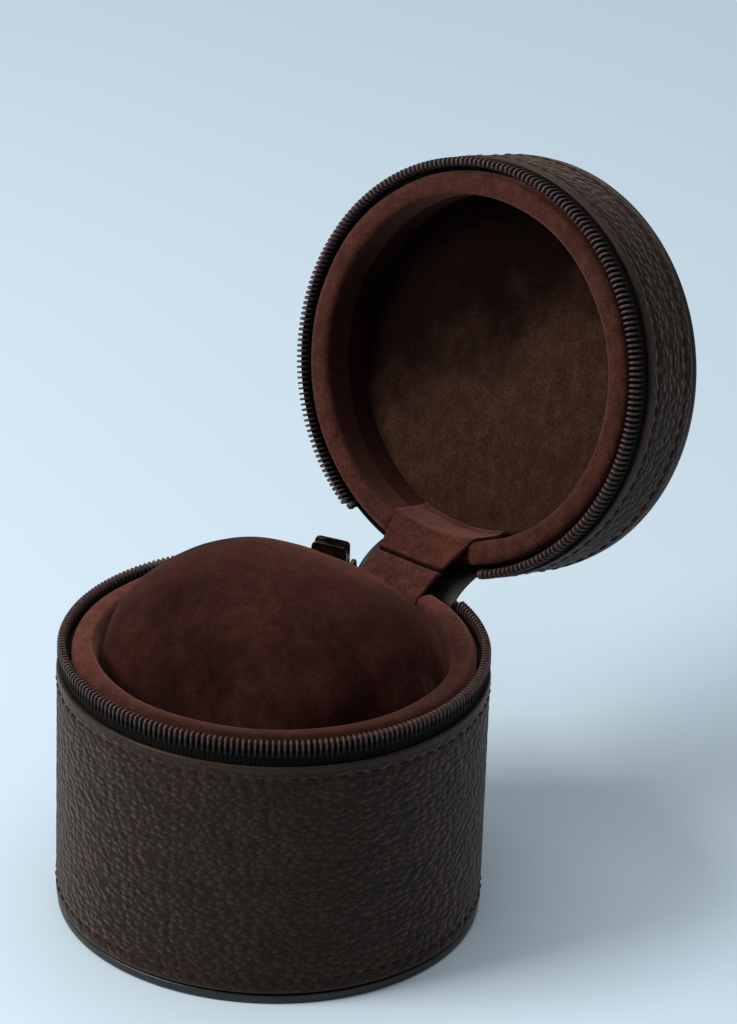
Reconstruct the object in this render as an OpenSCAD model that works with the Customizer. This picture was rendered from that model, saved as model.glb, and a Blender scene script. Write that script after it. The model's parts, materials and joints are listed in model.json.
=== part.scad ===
// Round watch travel case: a leather drum with a zipped rim, a hinged lid and a suede pillow.
// The base stands on the XY plane, centred on the origin, with the hinge at +Y.
// Everything near the rim is drawn by its depth h below the plane where lid and base meet,
// so the base and the lid share one set of profiles, turned towards each other.

/* [Case] */
// Outside diameter of the leather drum
case_d = 92; // [80:1:110]
// Height of the base, from the table to the plane where the lid meets it
base_h = 61.4; // [56:0.2:76]
// Height of the lid above that plane
lid_h = 24.1; // [22:0.1:34]
// How far the lid leans back in the resting pose, in degrees from closed
lid_open = 104; // [90:1:110]

/* [Walls] */
// Thickness of the outer leather
leather_t = 0.8; // [0.6:0.1:1.2]
// Thickness of the stiff board tube behind the leather
core_t = 1.3; // [1:0.1:1.6]
// Thickness of the board discs in the floor and the roof
board_t = 2.5; // [1.5:0.1:3]
// Thickness of the foam sleeve that lines both halves
foam_t = 5; // [4:0.1:6]
// Thickness of the suede
suede_t = 0.45; // [0.3:0.05:0.6]
// Gap left for glue between pieces that lie on each other
glue_gap = 0.05; // [0.03:0.01:0.1]

/* [End discs] */
// Thickness of the painted disc that closes each end
cover_t = 2.1; // [1.5:0.1:3]
// How far the rim of that disc stays inside the leather
cover_inset = 0.3; // [0.1:0.1:1]
// Height of the dark seam between the disc and the leather
seam_h = 0.5; // [0.3:0.1:1]
// Depth of that seam behind the leather
seam_depth = 1.1; // [0.6:0.1:1.2]
// How far the disc on the lid is padded out at its centre
lid_crown = 0.6; // [0.2:0.1:1.2]

/* [Rim] */
// Distance from the meeting plane to the turned edge of the leather
band_h = 5.2; // [4.8:0.1:6]
// How far the board tube stands past the leather edge
core_step = 1; // [0.5:0.1:1.2]
// Width of the free channel around the collar in which the zip runs
channel_w = 0.8; // [0.7:0.05:1]
// Gap between the two collars when the lid is shut
rim_gap = 0.2; // [0.1:0.05:0.4]
// Rounding of the collar on its inner side
collar_round_in = 1.3; // [0.8:0.1:2]
// Rounding of the collar on its outer side
collar_round_out = 2; // [1.5:0.1:2.5]

/* [Cup and recess] */
// Thickness of the foam pad on the floor of the cup
cup_pad_t = 7; // [4:0.5:9]
// Crown of the pad in the cup
cup_crown = 0.6; // [0.3:0.1:1.5]
// Depth of the recess in the lid at its rim
recess_depth = 13.6; // [12.6:0.1:14.2]
// Crown of the padded roof of the recess
roof_crown = 2; // [0.5:0.1:2.4]

/* [Pillow] */
// Width of the pillow from front to back
pillow_w = 60; // [50:1:61]
// Height of the pillow
pillow_h = 58; // [50:1:58]
// Thickness of the pillow's suede cover
cover_skin = 0.8; // [0.5:0.1:1.2]
// How far the closing lid presses the pillow down
press_depth = 8; // [7.6:0.1:8.2]
// Room under the closed lid above the pressed pillow
lid_clearance = 1.6; // [1.2:0.1:2]

/* [Zip] */
// Distance from tooth to tooth in one row
tooth_pitch = 1.2; // [1.1:0.05:2]
// Thickness of a tooth along the row
tooth_t = 0.46; // [0.3:0.02:0.5]
// Depth of a tooth across the tape
tooth_d = 2; // [1.8:0.1:2.1]
// How far a tooth reaches past the meeting plane, into the other row
tooth_mesh = 0.5; // [0.3:0.05:0.7]
// Distance from the meeting plane to the foot of a tooth
tooth_foot = 2.9; // [2.6:0.1:3.1]
// Thickness of the stops that end each row
stop_t = 1; // [0.8:0.1:1.2]
// Thickness of the woven tape
tape_t = 0.5; // [0.4:0.05:0.6]
// How far the tape is sewn in behind the leather
tape_in = 9; // [6:0.5:10]
// Angle that each row of teeth ends short of the hinge centre
row_gap = 20; // [19:0.5:26]
// Angle over which the lid has no teeth where the open slider is parked
park_gap = 31.5; // [31:0.5:36]

/* [Slider and pull] */
// Length of the slider along the zip
slider_l = 8; // [7:0.5:9]
// Height of the slider at its wide end
slider_h = 6.4; // [6.2:0.1:6.6]
// Thickness of the slider's inner plate
plate_in_t = 0.5; // [0.4:0.05:0.55]
// Thickness of the slider's outer plate
plate_out_t = 0.7; // [0.5:0.05:1]
// Free height under the slider's bridge
bridge_gap = 1.3; // [1.2:0.05:1.6]
// Radius of the bridge's round bar
bridge_r = 0.45; // [0.35:0.05:0.5]
// Angle from the hinge centre at which the slider is parked
park_angle = 25; // [24.5:0.5:26]
// Wire thickness of the link between the bridge and the pull tab
link_t = 0.7; // [0.6:0.05:0.9]
// Length of that link between its two round ends
link_l = 4.2; // [3.5:0.1:6]
// Length of the pull tab
tab_l = 22; // [14:1:30]
// Width of the pull tab
tab_w = 5.2; // [4.4:0.1:7]
// Thickness of the pull tab
tab_t = 1; // [0.8:0.05:1.1]

/* [Hinge] */
// Distance of the fold behind the leather
fold_out = 1.3; // [1:0.1:2]
// Distance of the fold below the meeting plane
fold_down = 1.6; // [1:0.1:2]
// Thickness of the outer hinge band
band_t = 0.9; // [0.6:0.1:1]
// Half of the angle that the outer band covers
band_half = 17.2; // [14:0.2:17.4]
// Thickness of the inner suede strap
strap_t = 0.8; // [0.5:0.1:1]
// Width of the inner strap on the base
strap_w = 18; // [14:0.5:20]
// Width of the inner strap where it enters the lid
strap_flare = 23; // [18:0.5:26]
// How far the strap runs down inside the cup and the recess
strap_drop = 12; // [6:0.5:12.4]

/* [Hidden] */
$fn = 96;

// Radii, from the outside in
leather_out = case_d / 2;
leather_in = leather_out - leather_t;
tape_out = leather_in - glue_gap;
tape_inner = tape_out - tape_t;
core_out = tape_inner - glue_gap;
core_in = core_out - core_t;
foam_out = core_in - glue_gap;
foam_in = foam_out - foam_t;
lining_out = foam_in - glue_gap;
lining_in = lining_out - suede_t;
collar_out = foam_out - channel_w;
collar_top_out = collar_out - suede_t - glue_gap;
tooth_mid = (tape_out + tape_inner) / 2;
disc_r = leather_out - cover_inset;
seam_r = leather_out - seam_depth;

// Depths below the meeting plane
core_top = band_h - core_step;
collar_hem = core_top + 2;
end_gap = cover_t + seam_h;
board_gap = end_gap + glue_gap + board_t;
tape_edge = tooth_foot - 1;
tape_end = band_h + tape_in;
lining_top = collar_hem + 2;
foam_top = suede_t + glue_gap;
edge_round = 0.35;

// Hinge
fold_y = leather_out + fold_out;
fold_z = base_h - fold_down;
fold_clear = 0.6;
strap_r = lining_in - glue_gap - strap_t;
strap_seat = strap_t + 2 * glue_gap;

// Zip
pitch_angle = tooth_pitch / tooth_mid * 180 / PI;
row_start = 90 + row_gap;
row_end = 450 - row_gap;
base_teeth = floor((row_end - row_start) / pitch_angle);
lid_first = ceil((90 + park_gap - row_start) / pitch_angle) + 0.5;
lid_teeth = floor((row_end - row_start) / pitch_angle - lid_first) + 1;
stop_lead = 1.15;

// Slider, drawn at angle 0 and turned to its parked place
park_turn = 90 + park_angle;
slider_run = 0.1;
plate_in_face = (tooth_mid - tooth_d / 2) * cos(asin(slider_l / 2 / tooth_mid)) - slider_run;
plate_out_face = tooth_mid + tooth_d / 2 + slider_run;
lip_h = slider_h / 2 - tooth_foot - slider_run;
lip_in_face = (tape_inner) * cos(asin(slider_l / 2 / tape_inner)) - slider_run;
lip_out_face = tape_out + slider_run;
bridge_x = plate_out_face + plate_out_t + bridge_gap + bridge_r;
link_in = bridge_r + 0.2;
link_out = link_in + link_t;
link_w = 0.8;
tab_hole_r = 0.68;
tab_margin = 0.9;
tab_top = -link_l - (link_in + link_out) / 2 + tab_hole_r + tab_margin;

// Pillow
pillow_end = lining_in - 0.5;
roof_low = recess_depth - roof_crown;
pillow_mid = base_h + roof_low - lid_clearance - pillow_h / 2 + press_depth;
pillow_cols = 28;
pillow_rings = 15;

// Points of an arc about c, from angle a to angle b
function arc(c, r, a, b, n = 6) = [for (i = [0:n]) c + r * [cos(a + (b - a) * i / n), sin(a + (b - a) * i / n)]];

// Sign-keeping power, for the rounded cross-section of the pillow
function spow(v, p) = sign(v) * pow(abs(v), p);

// Turns depth below the meeting plane into height on the base; sink is half the gap at the collars
module on_base(sink = 0) translate([0, 0, base_h - sink]) mirror([0, 0, 1]) children();

// Puts a piece drawn by its depth on the lid, leaning back about the fold
module on_lid(sink = 0)
    translate([0, fold_y, fold_z]) rotate([-lid_open, 0, 0]) translate([0, -fold_y, -fold_z])
        translate([0, 0, base_h + sink]) children();

// A ring or disc turned from a list of [radius, depth] points
module turned(points) rotate_extrude() polygon(points);

// Part of a turned ring, centred on the hinge side
module turned_part(points, half_angle)
    rotate([0, 0, 90 - half_angle]) rotate_extrude(angle = 2 * half_angle) polygon(points);

// Wedge of space on the hinge side, used to cut channels
module hinge_sector(r1, r2, h1, h2, half_angle)
    turned_part([[r1, h1], [r2, h1], [r2, h2], [r1, h2]], half_angle);

// Half angle that a strap of width w covers at the collar
function strap_half(w) = asin(w / 2 / (lining_in + foam_t / 2));

// Outer leather of one half, with both edges turned over, thinner where the tape is sewn in
module leather_wall(depth) {
    r = edge_round;
    low = depth - end_gap;
    turned(concat(
        [[leather_in, band_h]],
        arc([leather_out - r, band_h + r], r, -90, 0, 4),
        arc([leather_out - r, low - r], r, 0, 90, 4),
        [[core_out + glue_gap, low], [core_out + glue_gap, tape_end + glue_gap],
         [leather_in, tape_end + glue_gap]]
    ));
}

// Stiff board tube behind the leather
module core_tube(depth)
    turned([[core_in, core_top], [core_out, core_top], [core_out, depth - end_gap], [core_in, depth - end_gap]]);

// Board disc that closes the tube
module end_board(depth)
    translate([0, 0, depth - end_gap - board_t]) cylinder(h = board_t, r = foam_out);

// Painted disc under the base or over the lid, with a stepped seam and a softened rim
module end_disc(depth, crown = 0) {
    r = 0.7;
    seam = depth - end_gap + glue_gap;
    flat_r = disc_r - r;
    crown_r = (flat_r * flat_r + crown * crown) / (2 * max(crown, 0.001));
    crown_a = crown == 0 ? 0 : asin(flat_r / crown_r);
    turned(concat(
        [[0, seam], [seam_r, seam], [seam_r, depth - cover_t]],
        arc([disc_r - r / 2, depth - cover_t + r / 2], r / 2, -90, 0, 3),
        arc([flat_r, depth - crown - r], r, 0, 90 - crown_a, 4),
        crown == 0 ? [[0, depth]] : arc([0, depth - crown_r], crown_r, 90 - crown_a * 5 / 6, 90, 5)
    ));
}

// Foam sleeve: its top fits inside the collar suede, its foot stands on the board
module foam_sleeve(depth, strap_width) {
    low = depth - board_gap - rim_gap / 2;
    difference() {
        turned(concat(
            [[foam_in, low]],
            arc([foam_in + collar_round_in, foam_top + collar_round_in], collar_round_in, 180, 270, 5),
            arc([collar_top_out - collar_round_out, foam_top + collar_round_out], collar_round_out, 270, 360, 6),
            [[collar_top_out, collar_hem], [foam_out, collar_hem], [foam_out, low]]
        ));
        hinge_sector(foam_in - 1, foam_out + 1, -1, strap_seat, strap_half(strap_width + 0.6));
    }
}

// Suede skin over the collar, with a shallow channel for the hinge strap
module collar_skin(strap_width) {
    inner = collar_round_in + suede_t;
    outer = collar_round_out + suede_t;
    difference() {
        turned(concat(
            [[lining_in, lining_top]],
            arc([lining_in + inner, inner], inner, 180, 270, 6),
            arc([collar_out - outer, outer], outer, 270, 360, 7),
            [[collar_out, collar_hem - glue_gap], [collar_out - suede_t, collar_hem - glue_gap]],
            arc([collar_out - outer, outer], collar_round_out, 360, 270, 6),
            arc([lining_in + inner, inner], collar_round_in, 270, 180, 5),
            [[lining_out, lining_top]]
        ));
        hinge_sector(lining_in - 1, foam_out + 1, -1, strap_seat, strap_half(strap_width + 0.6));
    }
}

// Suede on the wall of the cup or the recess, below the collar skin
module wall_lining(depth) {
    top = lining_top + rim_gap / 2 + glue_gap;
    turned([[lining_in, top], [lining_out, top], [lining_out, depth], [lining_in, depth]]);
}

// Crowned disc between depth low and depth edge, whose face rises by crown at its centre
module crowned_pad(r, edge, low, crown, back_crown = 0) {
    face_r = (r * r + crown * crown) / (2 * crown);
    face_a = asin(r / face_r);
    turned(concat(
        back_crown == 0
            ? [[0, low], [r, low]]
            : [for (i = [0:8]) face_r * [sin(face_a * i / 8), -cos(face_a * i / 8)] + [0, low + face_r - crown]],
        [for (i = [8:-1:0]) face_r * [sin(face_a * i / 8), -cos(face_a * i / 8)] + [0, edge + face_r - crown]]
    ));
}

// Woven tape: sewn in behind the leather, its free edge carries the teeth
module zip_tape()
    rotate([0, 0, 90 + band_half]) rotate_extrude(angle = 360 - 2 * band_half)
        polygon([[tape_inner, tape_edge], [tape_out, tape_edge], [tape_out, tape_end], [tape_inner, tape_end]]);

// Section of a tooth: a head with its tip at the given depth, and two legs that clamp the tape
module tooth_section(tip) {
    r1 = tooth_mid - tooth_d / 2;
    r2 = tooth_mid + tooth_d / 2;
    slot = glue_gap;
    shoulder = tip + 0.8;
    polygon([
        [r1, tooth_foot], [r1, shoulder], [r1 + 0.45, tip], [r2 - 0.45, tip], [r2, shoulder], [r2, tooth_foot],
        [tape_out + slot, tooth_foot], [tape_out + slot, tape_edge - slot],
        [tape_inner - slot, tape_edge - slot], [tape_inner - slot, tooth_foot]
    ]);
}

// One tooth or stop at angle a, of thickness t along the row
module tooth(a, t, tip)
    rotate([0, 0, a]) rotate([90, 0, 0]) linear_extrude(height = t, center = true) tooth_section(tip);

// Row of count teeth; first shifts the row by whole or half pitches
module tooth_row(first, count)
    for (i = [0:count - 1]) tooth(row_start + (first + i) * pitch_angle, tooth_t, -tooth_mesh);

// The two stops that end a row, low enough to clear the heads of the other row
module row_stops(start) {
    tip = tooth_mesh + slider_run;
    tooth(start - stop_lead * pitch_angle, stop_t, tip);
    tooth(row_end + (stop_lead - 0.5) * pitch_angle, stop_t, tip);
}

// Outer hinge band of one half: sewn in like the tape, it bulges out to the fold
module hinge_band(fold_depth) {
    tip = fold_depth + fold_clear;
    turned_part([
        [tape_inner, tape_end], [tape_out, tape_end], [tape_out, band_h - 0.4],
        [tape_out + band_t * 0.6, band_h - 0.8], [fold_y + band_t * 0.3, tip],
        [fold_y - band_t * 0.3, tip], [tape_inner, band_h - 1.4]
    ], band_half - 0.2);
}

// Inner hinge strap of one half: lies in the collar's channel and turns down into the cup
module hinge_strap(width) {
    bend = glue_gap + strap_t + 0.4;
    turned_part([
        [strap_r, bend], [strap_r + 0.4, glue_gap], [collar_out - 1.2, glue_gap],
        [collar_out - 0.4, glue_gap + strap_t], [strap_r + strap_t, glue_gap + strap_t],
        [strap_r + strap_t, strap_drop], [strap_r, strap_drop]
    ], strap_half(width));
}

// Side view of the slider plates: wide at the mouth, narrow at the tail
module slider_outline() {
    l = slider_l / 2;
    w = slider_h / 2;
    polygon(concat(
        arc([l - 1.2, w - 1.2], 1.2, 0, 90, 4),
        arc([-l + 1, w - 1.5], 1, 90, 180, 4),
        arc([-l + 1, -w + 1.5], 1, 180, 270, 4),
        arc([l - 1.2, -w + 1.2], 1.2, 270, 360, 4)
    ));
}

// Plate of the slider between two faces, standing across the radius
module slider_plate(x1, x2)
    translate([x1, 0, 0]) rotate([90, 0, 90]) linear_extrude(height = x2 - x1) slider_outline();

// Lips along both long edges of a plate, which hold the teeth by their feet
module slider_lips(x1, x2)
    intersection() {
        slider_plate(x1, x2);
        for (s = [-1, 1])
            translate([(x1 + x2) / 2, 0, s * (slider_h / 2 - lip_h / 2)])
                cube([x2 - x1 + 1, slider_l - 2, lip_h], center = true);
    }

// Turns a piece drawn at angle 0 and height 0 to the parked slider
module at_slider() translate([0, 0, base_h]) rotate([0, 0, park_turn]) children();

// Outline of a flat loop or tab with round ends: centre distance l, end radius r
module stadium(l, r) {
    circle(r);
    translate([0, -l]) circle(r);
    translate([-r, -l]) square([2 * r, l]);
}

// Surface of the pillow, shrunk by t: a roll whose ends follow the round cup
module pillow_form(t) {
    a = pillow_end - t;
    b = pillow_w / 2 - t;
    c = pillow_h / 2 - t;
    n = pillow_cols;
    rings = pillow_rings;
    station = function(i) a * sin(-90 + 180 * (i + 0.5) / rings);
    half_w = function(x) pow(pow(b, -8) + pow(a * a - x * x, -4), -1 / 8);
    half_h = function(x) c * pow(1 - pow(abs(x / a), 2.5), 0.4);
    points = concat(
        [for (i = [0:rings - 1], j = [0:n - 1]) let (x = station(i), u = 360 * j / n)
            [x, half_w(x) * spow(cos(u), 0.8), half_h(x) * spow(sin(u), 0.8)]],
        [[-a, 0, 0], [a, 0, 0]]
    );
    sides = [for (i = [0:rings - 2], j = [0:n - 1]) let (k = (j + 1) % n)
        each [[i * n + j, (i + 1) * n + k, i * n + k], [i * n + j, (i + 1) * n + j, (i + 1) * n + k]]];
    ends = [for (j = [0:n - 1]) let (k = (j + 1) % n, last = (rings - 1) * n)
        each [[rings * n, j, k], [rings * n + 1, last + k, last + j]]];
    translate([0, 0, pillow_mid]) polyhedron(points, concat(sides, ends), convexity = 2);
}

// Base

module base_leather() color("#3a2b25") on_base() leather_wall(base_h);
module base_core() color("#6b5a48") on_base() core_tube(base_h);
module base_board() color("#7a6a55") on_base() end_board(base_h);
module base_disc() color("#1c1a19") on_base() end_disc(base_h);
module base_foam() color("#8d8478") on_base(rim_gap / 2) foam_sleeve(base_h, strap_w);
module base_collar() color("#4a2721") on_base(rim_gap / 2) collar_skin(strap_w);
module cup_lining() color("#45241f") on_base() wall_lining(base_h - board_gap);
module cup_pad() color("#8d8478") on_base()
    crowned_pad(lining_in - glue_gap, base_h - board_gap - cup_pad_t, base_h - board_gap, cup_crown);
module cup_floor() color("#45241f") on_base()
    crowned_pad(lining_in - glue_gap, base_h - board_gap - cup_pad_t - glue_gap - suede_t,
        base_h - board_gap - cup_pad_t - glue_gap, cup_crown, cup_crown);
module zip_tape_base() color("#17181c") on_base() zip_tape();
module zip_teeth_base() color("#33343a") on_base() tooth_row(0, base_teeth);
module zip_stops_base() color("#33343a") on_base() row_stops(row_start);
module hinge_band_base() color("#17181c") on_base() hinge_band(fold_down);
module hinge_strap_base() color("#4a2721") on_base(rim_gap / 2) hinge_strap(strap_w);

// Lid

module lid_leather() color("#3a2b25") on_lid() leather_wall(lid_h);
module lid_core() color("#6b5a48") on_lid() core_tube(lid_h);
module lid_board() color("#7a6a55") on_lid() end_board(lid_h);
module lid_disc() color("#2a201c") on_lid() end_disc(lid_h, lid_crown);
module lid_foam() color("#8d8478") on_lid(rim_gap / 2) foam_sleeve(lid_h, strap_flare);
module lid_collar() color("#4a2721") on_lid(rim_gap / 2) collar_skin(strap_flare);
module recess_lining() color("#45241f") on_lid() wall_lining(lid_h - board_gap);
module roof_pad() color("#8d8478") on_lid()
    crowned_pad(lining_in - glue_gap, recess_depth + suede_t + glue_gap, lid_h - board_gap, roof_crown);
module roof_lining() color("#4d3423") on_lid()
    crowned_pad(lining_in - glue_gap, recess_depth, recess_depth + suede_t, roof_crown, roof_crown);
module zip_tape_lid() color("#17181c") on_lid()
    difference() {
        zip_tape();
        rotate([0, 0, 90 + band_half - 1]) rotate_extrude(angle = park_gap - band_half)
            translate([tape_inner - 1, 0]) square([tape_t + 2, slider_h / 2 + 0.3]);
    }
module zip_teeth_lid() color("#33343a") on_lid() tooth_row(lid_first, lid_teeth);
module zip_stops_lid() color("#33343a") on_lid() row_stops(row_start + lid_first * pitch_angle);
module hinge_band_lid() color("#17181c") on_lid() hinge_band(-fold_down);
module hinge_strap_lid() color("#4a2721") on_lid(rim_gap / 2) hinge_strap(strap_flare);

// Slider and pull

module slider_body() color("#2b2c31") at_slider() {
    slider_plate(plate_in_face - plate_in_t, plate_in_face);
    slider_lips(plate_in_face, lip_in_face);
    slider_plate(plate_out_face, plate_out_face + plate_out_t);
    slider_lips(lip_out_face, plate_out_face);
}

module slider_bridge() color("#2b2c31") at_slider() {
    foot = plate_out_face + plate_out_t;
    reach = slider_l / 2 - 1.4;
    translate([bridge_x, 0, 0]) rotate([90, 0, 0]) cylinder(h = 2 * reach, r = bridge_r, center = true);
    for (s = [-1, 1])
        translate([foot, s * reach, 0]) rotate([0, 90, 0]) cylinder(h = bridge_x - foot + bridge_r, r = 0.6);
}

module pull_link() color("#2b2c31") at_slider()
    translate([bridge_x, 0, 0]) rotate([90, 0, 0]) linear_extrude(height = link_w, center = true)
        difference() {
            stadium(link_l, link_out);
            stadium(link_l, link_in);
        }

module pull_tab() color("#2b2c31") at_slider()
    translate([bridge_x, 0, tab_top]) rotate([90, 0, 90]) linear_extrude(height = tab_t, center = true)
        difference() {
            polygon(concat(
                arc([0, -tab_w / 3], tab_w / 3, 0, 180, 10),
                arc([0, -tab_l + tab_w / 2], tab_w / 2, 180, 360, 12)
            ));
            translate([0, -tab_margin - tab_hole_r]) circle(tab_hole_r);
            translate([0, -tab_l + tab_w / 2]) circle(tab_w / 4);
        }

// Pillow

module pillow_core() color("#9a9186") pillow_form(cover_skin + glue_gap);
module pillow_cover() color("#4a2721")
    difference() {
        pillow_form(0);
        pillow_form(cover_skin);
    }

base_leather();
base_core();
base_board();
base_disc();
base_foam();
base_collar();
cup_lining();
cup_pad();
cup_floor();
zip_tape_base();
zip_teeth_base();
zip_stops_base();
hinge_band_base();
hinge_strap_base();
lid_leather();
lid_core();
lid_board();
lid_disc();
lid_foam();
lid_collar();
recess_lining();
roof_pad();
roof_lining();
zip_tape_lid();
zip_teeth_lid();
zip_stops_lid();
hinge_band_lid();
hinge_strap_lid();
slider_body();
slider_bridge();
pull_link();
pull_tab();
pillow_core();
pillow_cover();
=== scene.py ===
"""Round leather travel case with a zipped rim, a lid that hinges back and a suede pillow.

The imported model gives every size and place, and this script makes the surfaces that show.
Pieces near the rim are drawn by their depth below the plane where the lid meets the base, so that
one drawing serves both halves. Pieces of the lid are drawn shut and then opened with it.
"""

import json
import math
from contextlib import contextmanager

import bpy
import numpy as np
from mathutils import Matrix, Vector, noise

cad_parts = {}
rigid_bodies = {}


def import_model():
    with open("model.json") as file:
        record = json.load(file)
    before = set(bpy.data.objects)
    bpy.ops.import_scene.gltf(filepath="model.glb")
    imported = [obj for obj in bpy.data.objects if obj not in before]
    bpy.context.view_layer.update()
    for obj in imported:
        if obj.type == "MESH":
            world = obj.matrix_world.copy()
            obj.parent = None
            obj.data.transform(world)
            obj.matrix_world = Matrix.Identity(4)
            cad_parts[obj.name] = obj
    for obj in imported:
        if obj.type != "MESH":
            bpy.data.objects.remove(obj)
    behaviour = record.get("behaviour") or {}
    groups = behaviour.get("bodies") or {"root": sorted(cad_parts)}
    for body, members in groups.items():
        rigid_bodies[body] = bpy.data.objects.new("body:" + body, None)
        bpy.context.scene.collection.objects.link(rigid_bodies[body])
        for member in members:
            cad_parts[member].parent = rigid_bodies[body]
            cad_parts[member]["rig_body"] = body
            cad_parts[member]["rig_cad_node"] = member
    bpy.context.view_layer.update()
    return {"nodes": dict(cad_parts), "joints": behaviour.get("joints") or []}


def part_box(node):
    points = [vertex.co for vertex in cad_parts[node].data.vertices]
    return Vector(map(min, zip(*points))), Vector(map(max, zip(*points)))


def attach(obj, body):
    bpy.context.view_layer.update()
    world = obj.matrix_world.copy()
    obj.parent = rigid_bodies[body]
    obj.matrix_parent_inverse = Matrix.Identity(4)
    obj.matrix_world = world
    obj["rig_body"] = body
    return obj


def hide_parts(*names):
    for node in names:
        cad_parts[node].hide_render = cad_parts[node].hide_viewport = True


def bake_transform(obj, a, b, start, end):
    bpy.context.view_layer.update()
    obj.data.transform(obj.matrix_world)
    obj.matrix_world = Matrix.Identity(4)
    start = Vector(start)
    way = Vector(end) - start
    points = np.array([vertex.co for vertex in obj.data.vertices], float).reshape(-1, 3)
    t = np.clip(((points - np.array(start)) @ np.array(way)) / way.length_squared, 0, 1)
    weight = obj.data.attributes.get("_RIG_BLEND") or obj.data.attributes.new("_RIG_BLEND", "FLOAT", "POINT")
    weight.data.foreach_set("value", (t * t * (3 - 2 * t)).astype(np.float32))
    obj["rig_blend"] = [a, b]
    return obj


bl_info = {
    "name": "Round Travel Case",
    "version": (1, 0, 0),
    "blender": (4, 5, 0),
    "location": "View3D > Sidebar > Travel Case",
    "description": "Leather, suede and zip of a round travel case, built around its packed model",
    "category": "Object",
}

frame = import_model()

MM = 0.001
WHITE = (1, 1, 1, 1)
# Output and type of a Mix node that mixes colours
MIXED_COLOUR = {"out": 2, "data_type": "RGBA"}
# Patches of nap are taller than wide, and their tones change between these values of the noise
TALLER = (1, 1, 0.6)
SPREAD = (0.36, 0.64)
SHEEN_ROUGHNESS = 0.45
WELD = 0.002 * MM
FULL_TURN = 2 * math.pi
REAR = math.pi / 2
HINGE = next(joint for joint in frame["joints"] if joint["name"] == "lid_hinge")
FOLD = Vector(HINGE["pos_m"])
LID_ANGLE = -math.radians(HINGE["range_deg"][0])
OPENED = (
    Matrix.Translation(FOLD)
    @ Matrix.Rotation(LID_ANGLE, 4, Vector(HINGE["axis"]))
    @ Matrix.Translation(-FOLD)
)


def shut_places(piece, body="lid"):
    """Places of a piece's points when the lid is shut."""
    shut = OPENED.inverted() if body == "lid" else Matrix()
    return [shut @ v.co for v in piece.data.vertices]


def shut_box(node):
    """Lowest and highest corner of a lid node when the lid is shut."""
    places = np.array(shut_places(frame["nodes"][node]))
    return Vector(places.min(0)), Vector(places.max(0))


def bore(node):
    """Smallest radius of a base node, about the drum's axis."""
    return min(v.co.xy.length for v in frame["nodes"][node].data.vertices)


WALL_LOW, WALL_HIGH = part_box("base_leather")
COLLAR_LOW, COLLAR_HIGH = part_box("base_collar")
RIM = (COLLAR_HIGH.z + shut_box("lid_collar")[0].z) / 2
SINK = RIM - COLLAR_HIGH.z
CASE_R = WALL_HIGH.x
BAND = RIM - WALL_HIGH.z
BASE_WALL = RIM - WALL_LOW.z
LID_WALL = shut_box("lid_leather")[1].z - RIM
COLLAR_R = COLLAR_HIGH.x
COLLAR_DEPTH = COLLAR_HIGH.z - COLLAR_LOW.z
LINING_R = bore("cup_lining")
CUP_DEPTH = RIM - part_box("cup_lining")[0].z
FLOOR_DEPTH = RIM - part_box("cup_floor")[1].z
FLOOR_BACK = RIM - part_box("cup_pad")[0].z
ROOF_DEPTH = shut_box("roof_lining")[0].z - RIM
ROOF_BACK = shut_box("roof_pad")[1].z - RIM
DISC_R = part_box("base_disc")[1].x
BASE_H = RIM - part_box("base_disc")[0].z
LID_H = shut_box("lid_disc")[1].z - RIM
TAPE_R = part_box("zip_tape_base")[1].x
TAPE_IN_R = bore("zip_tape_base")
PILLOW_LOW, PILLOW_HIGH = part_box("pillow_cover")
TOWARDS = {"base": -1, "lid": 1}


def length(name, value, description):
    """A size in metres, for the panel."""
    return bpy.props.FloatProperty(
        name=name, default=value, min=0, unit="LENGTH", precision=5, description=description
    )


def angle(name, degrees, description):
    """An angle, for the panel."""
    return bpy.props.FloatProperty(
        name=name, default=math.radians(degrees), subtype="ANGLE", description=description
    )


def share(name, value, description):
    """A plain number, for the panel."""
    return bpy.props.FloatProperty(name=name, default=value, min=0, description=description)


def tint(name, hex_code, description):
    """A colour given as an sRGB hex code, for the panel."""
    look = {"size": 4, "min": 0, "max": 1, "subtype": "COLOR"}
    return bpy.props.FloatVectorProperty(name=name, default=linear(hex_code), description=description, **look)


def linear(hex_code):
    """Linear RGBA of an sRGB hex code such as #3a2b25."""
    channels = [int(hex_code[i : i + 2], 16) / 255 for i in (1, 3, 5)]
    return tuple(c / 12.92 if c <= 0.04045 else ((c + 0.055) / 1.055) ** 2.4 for c in channels) + (1.0,)


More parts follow.
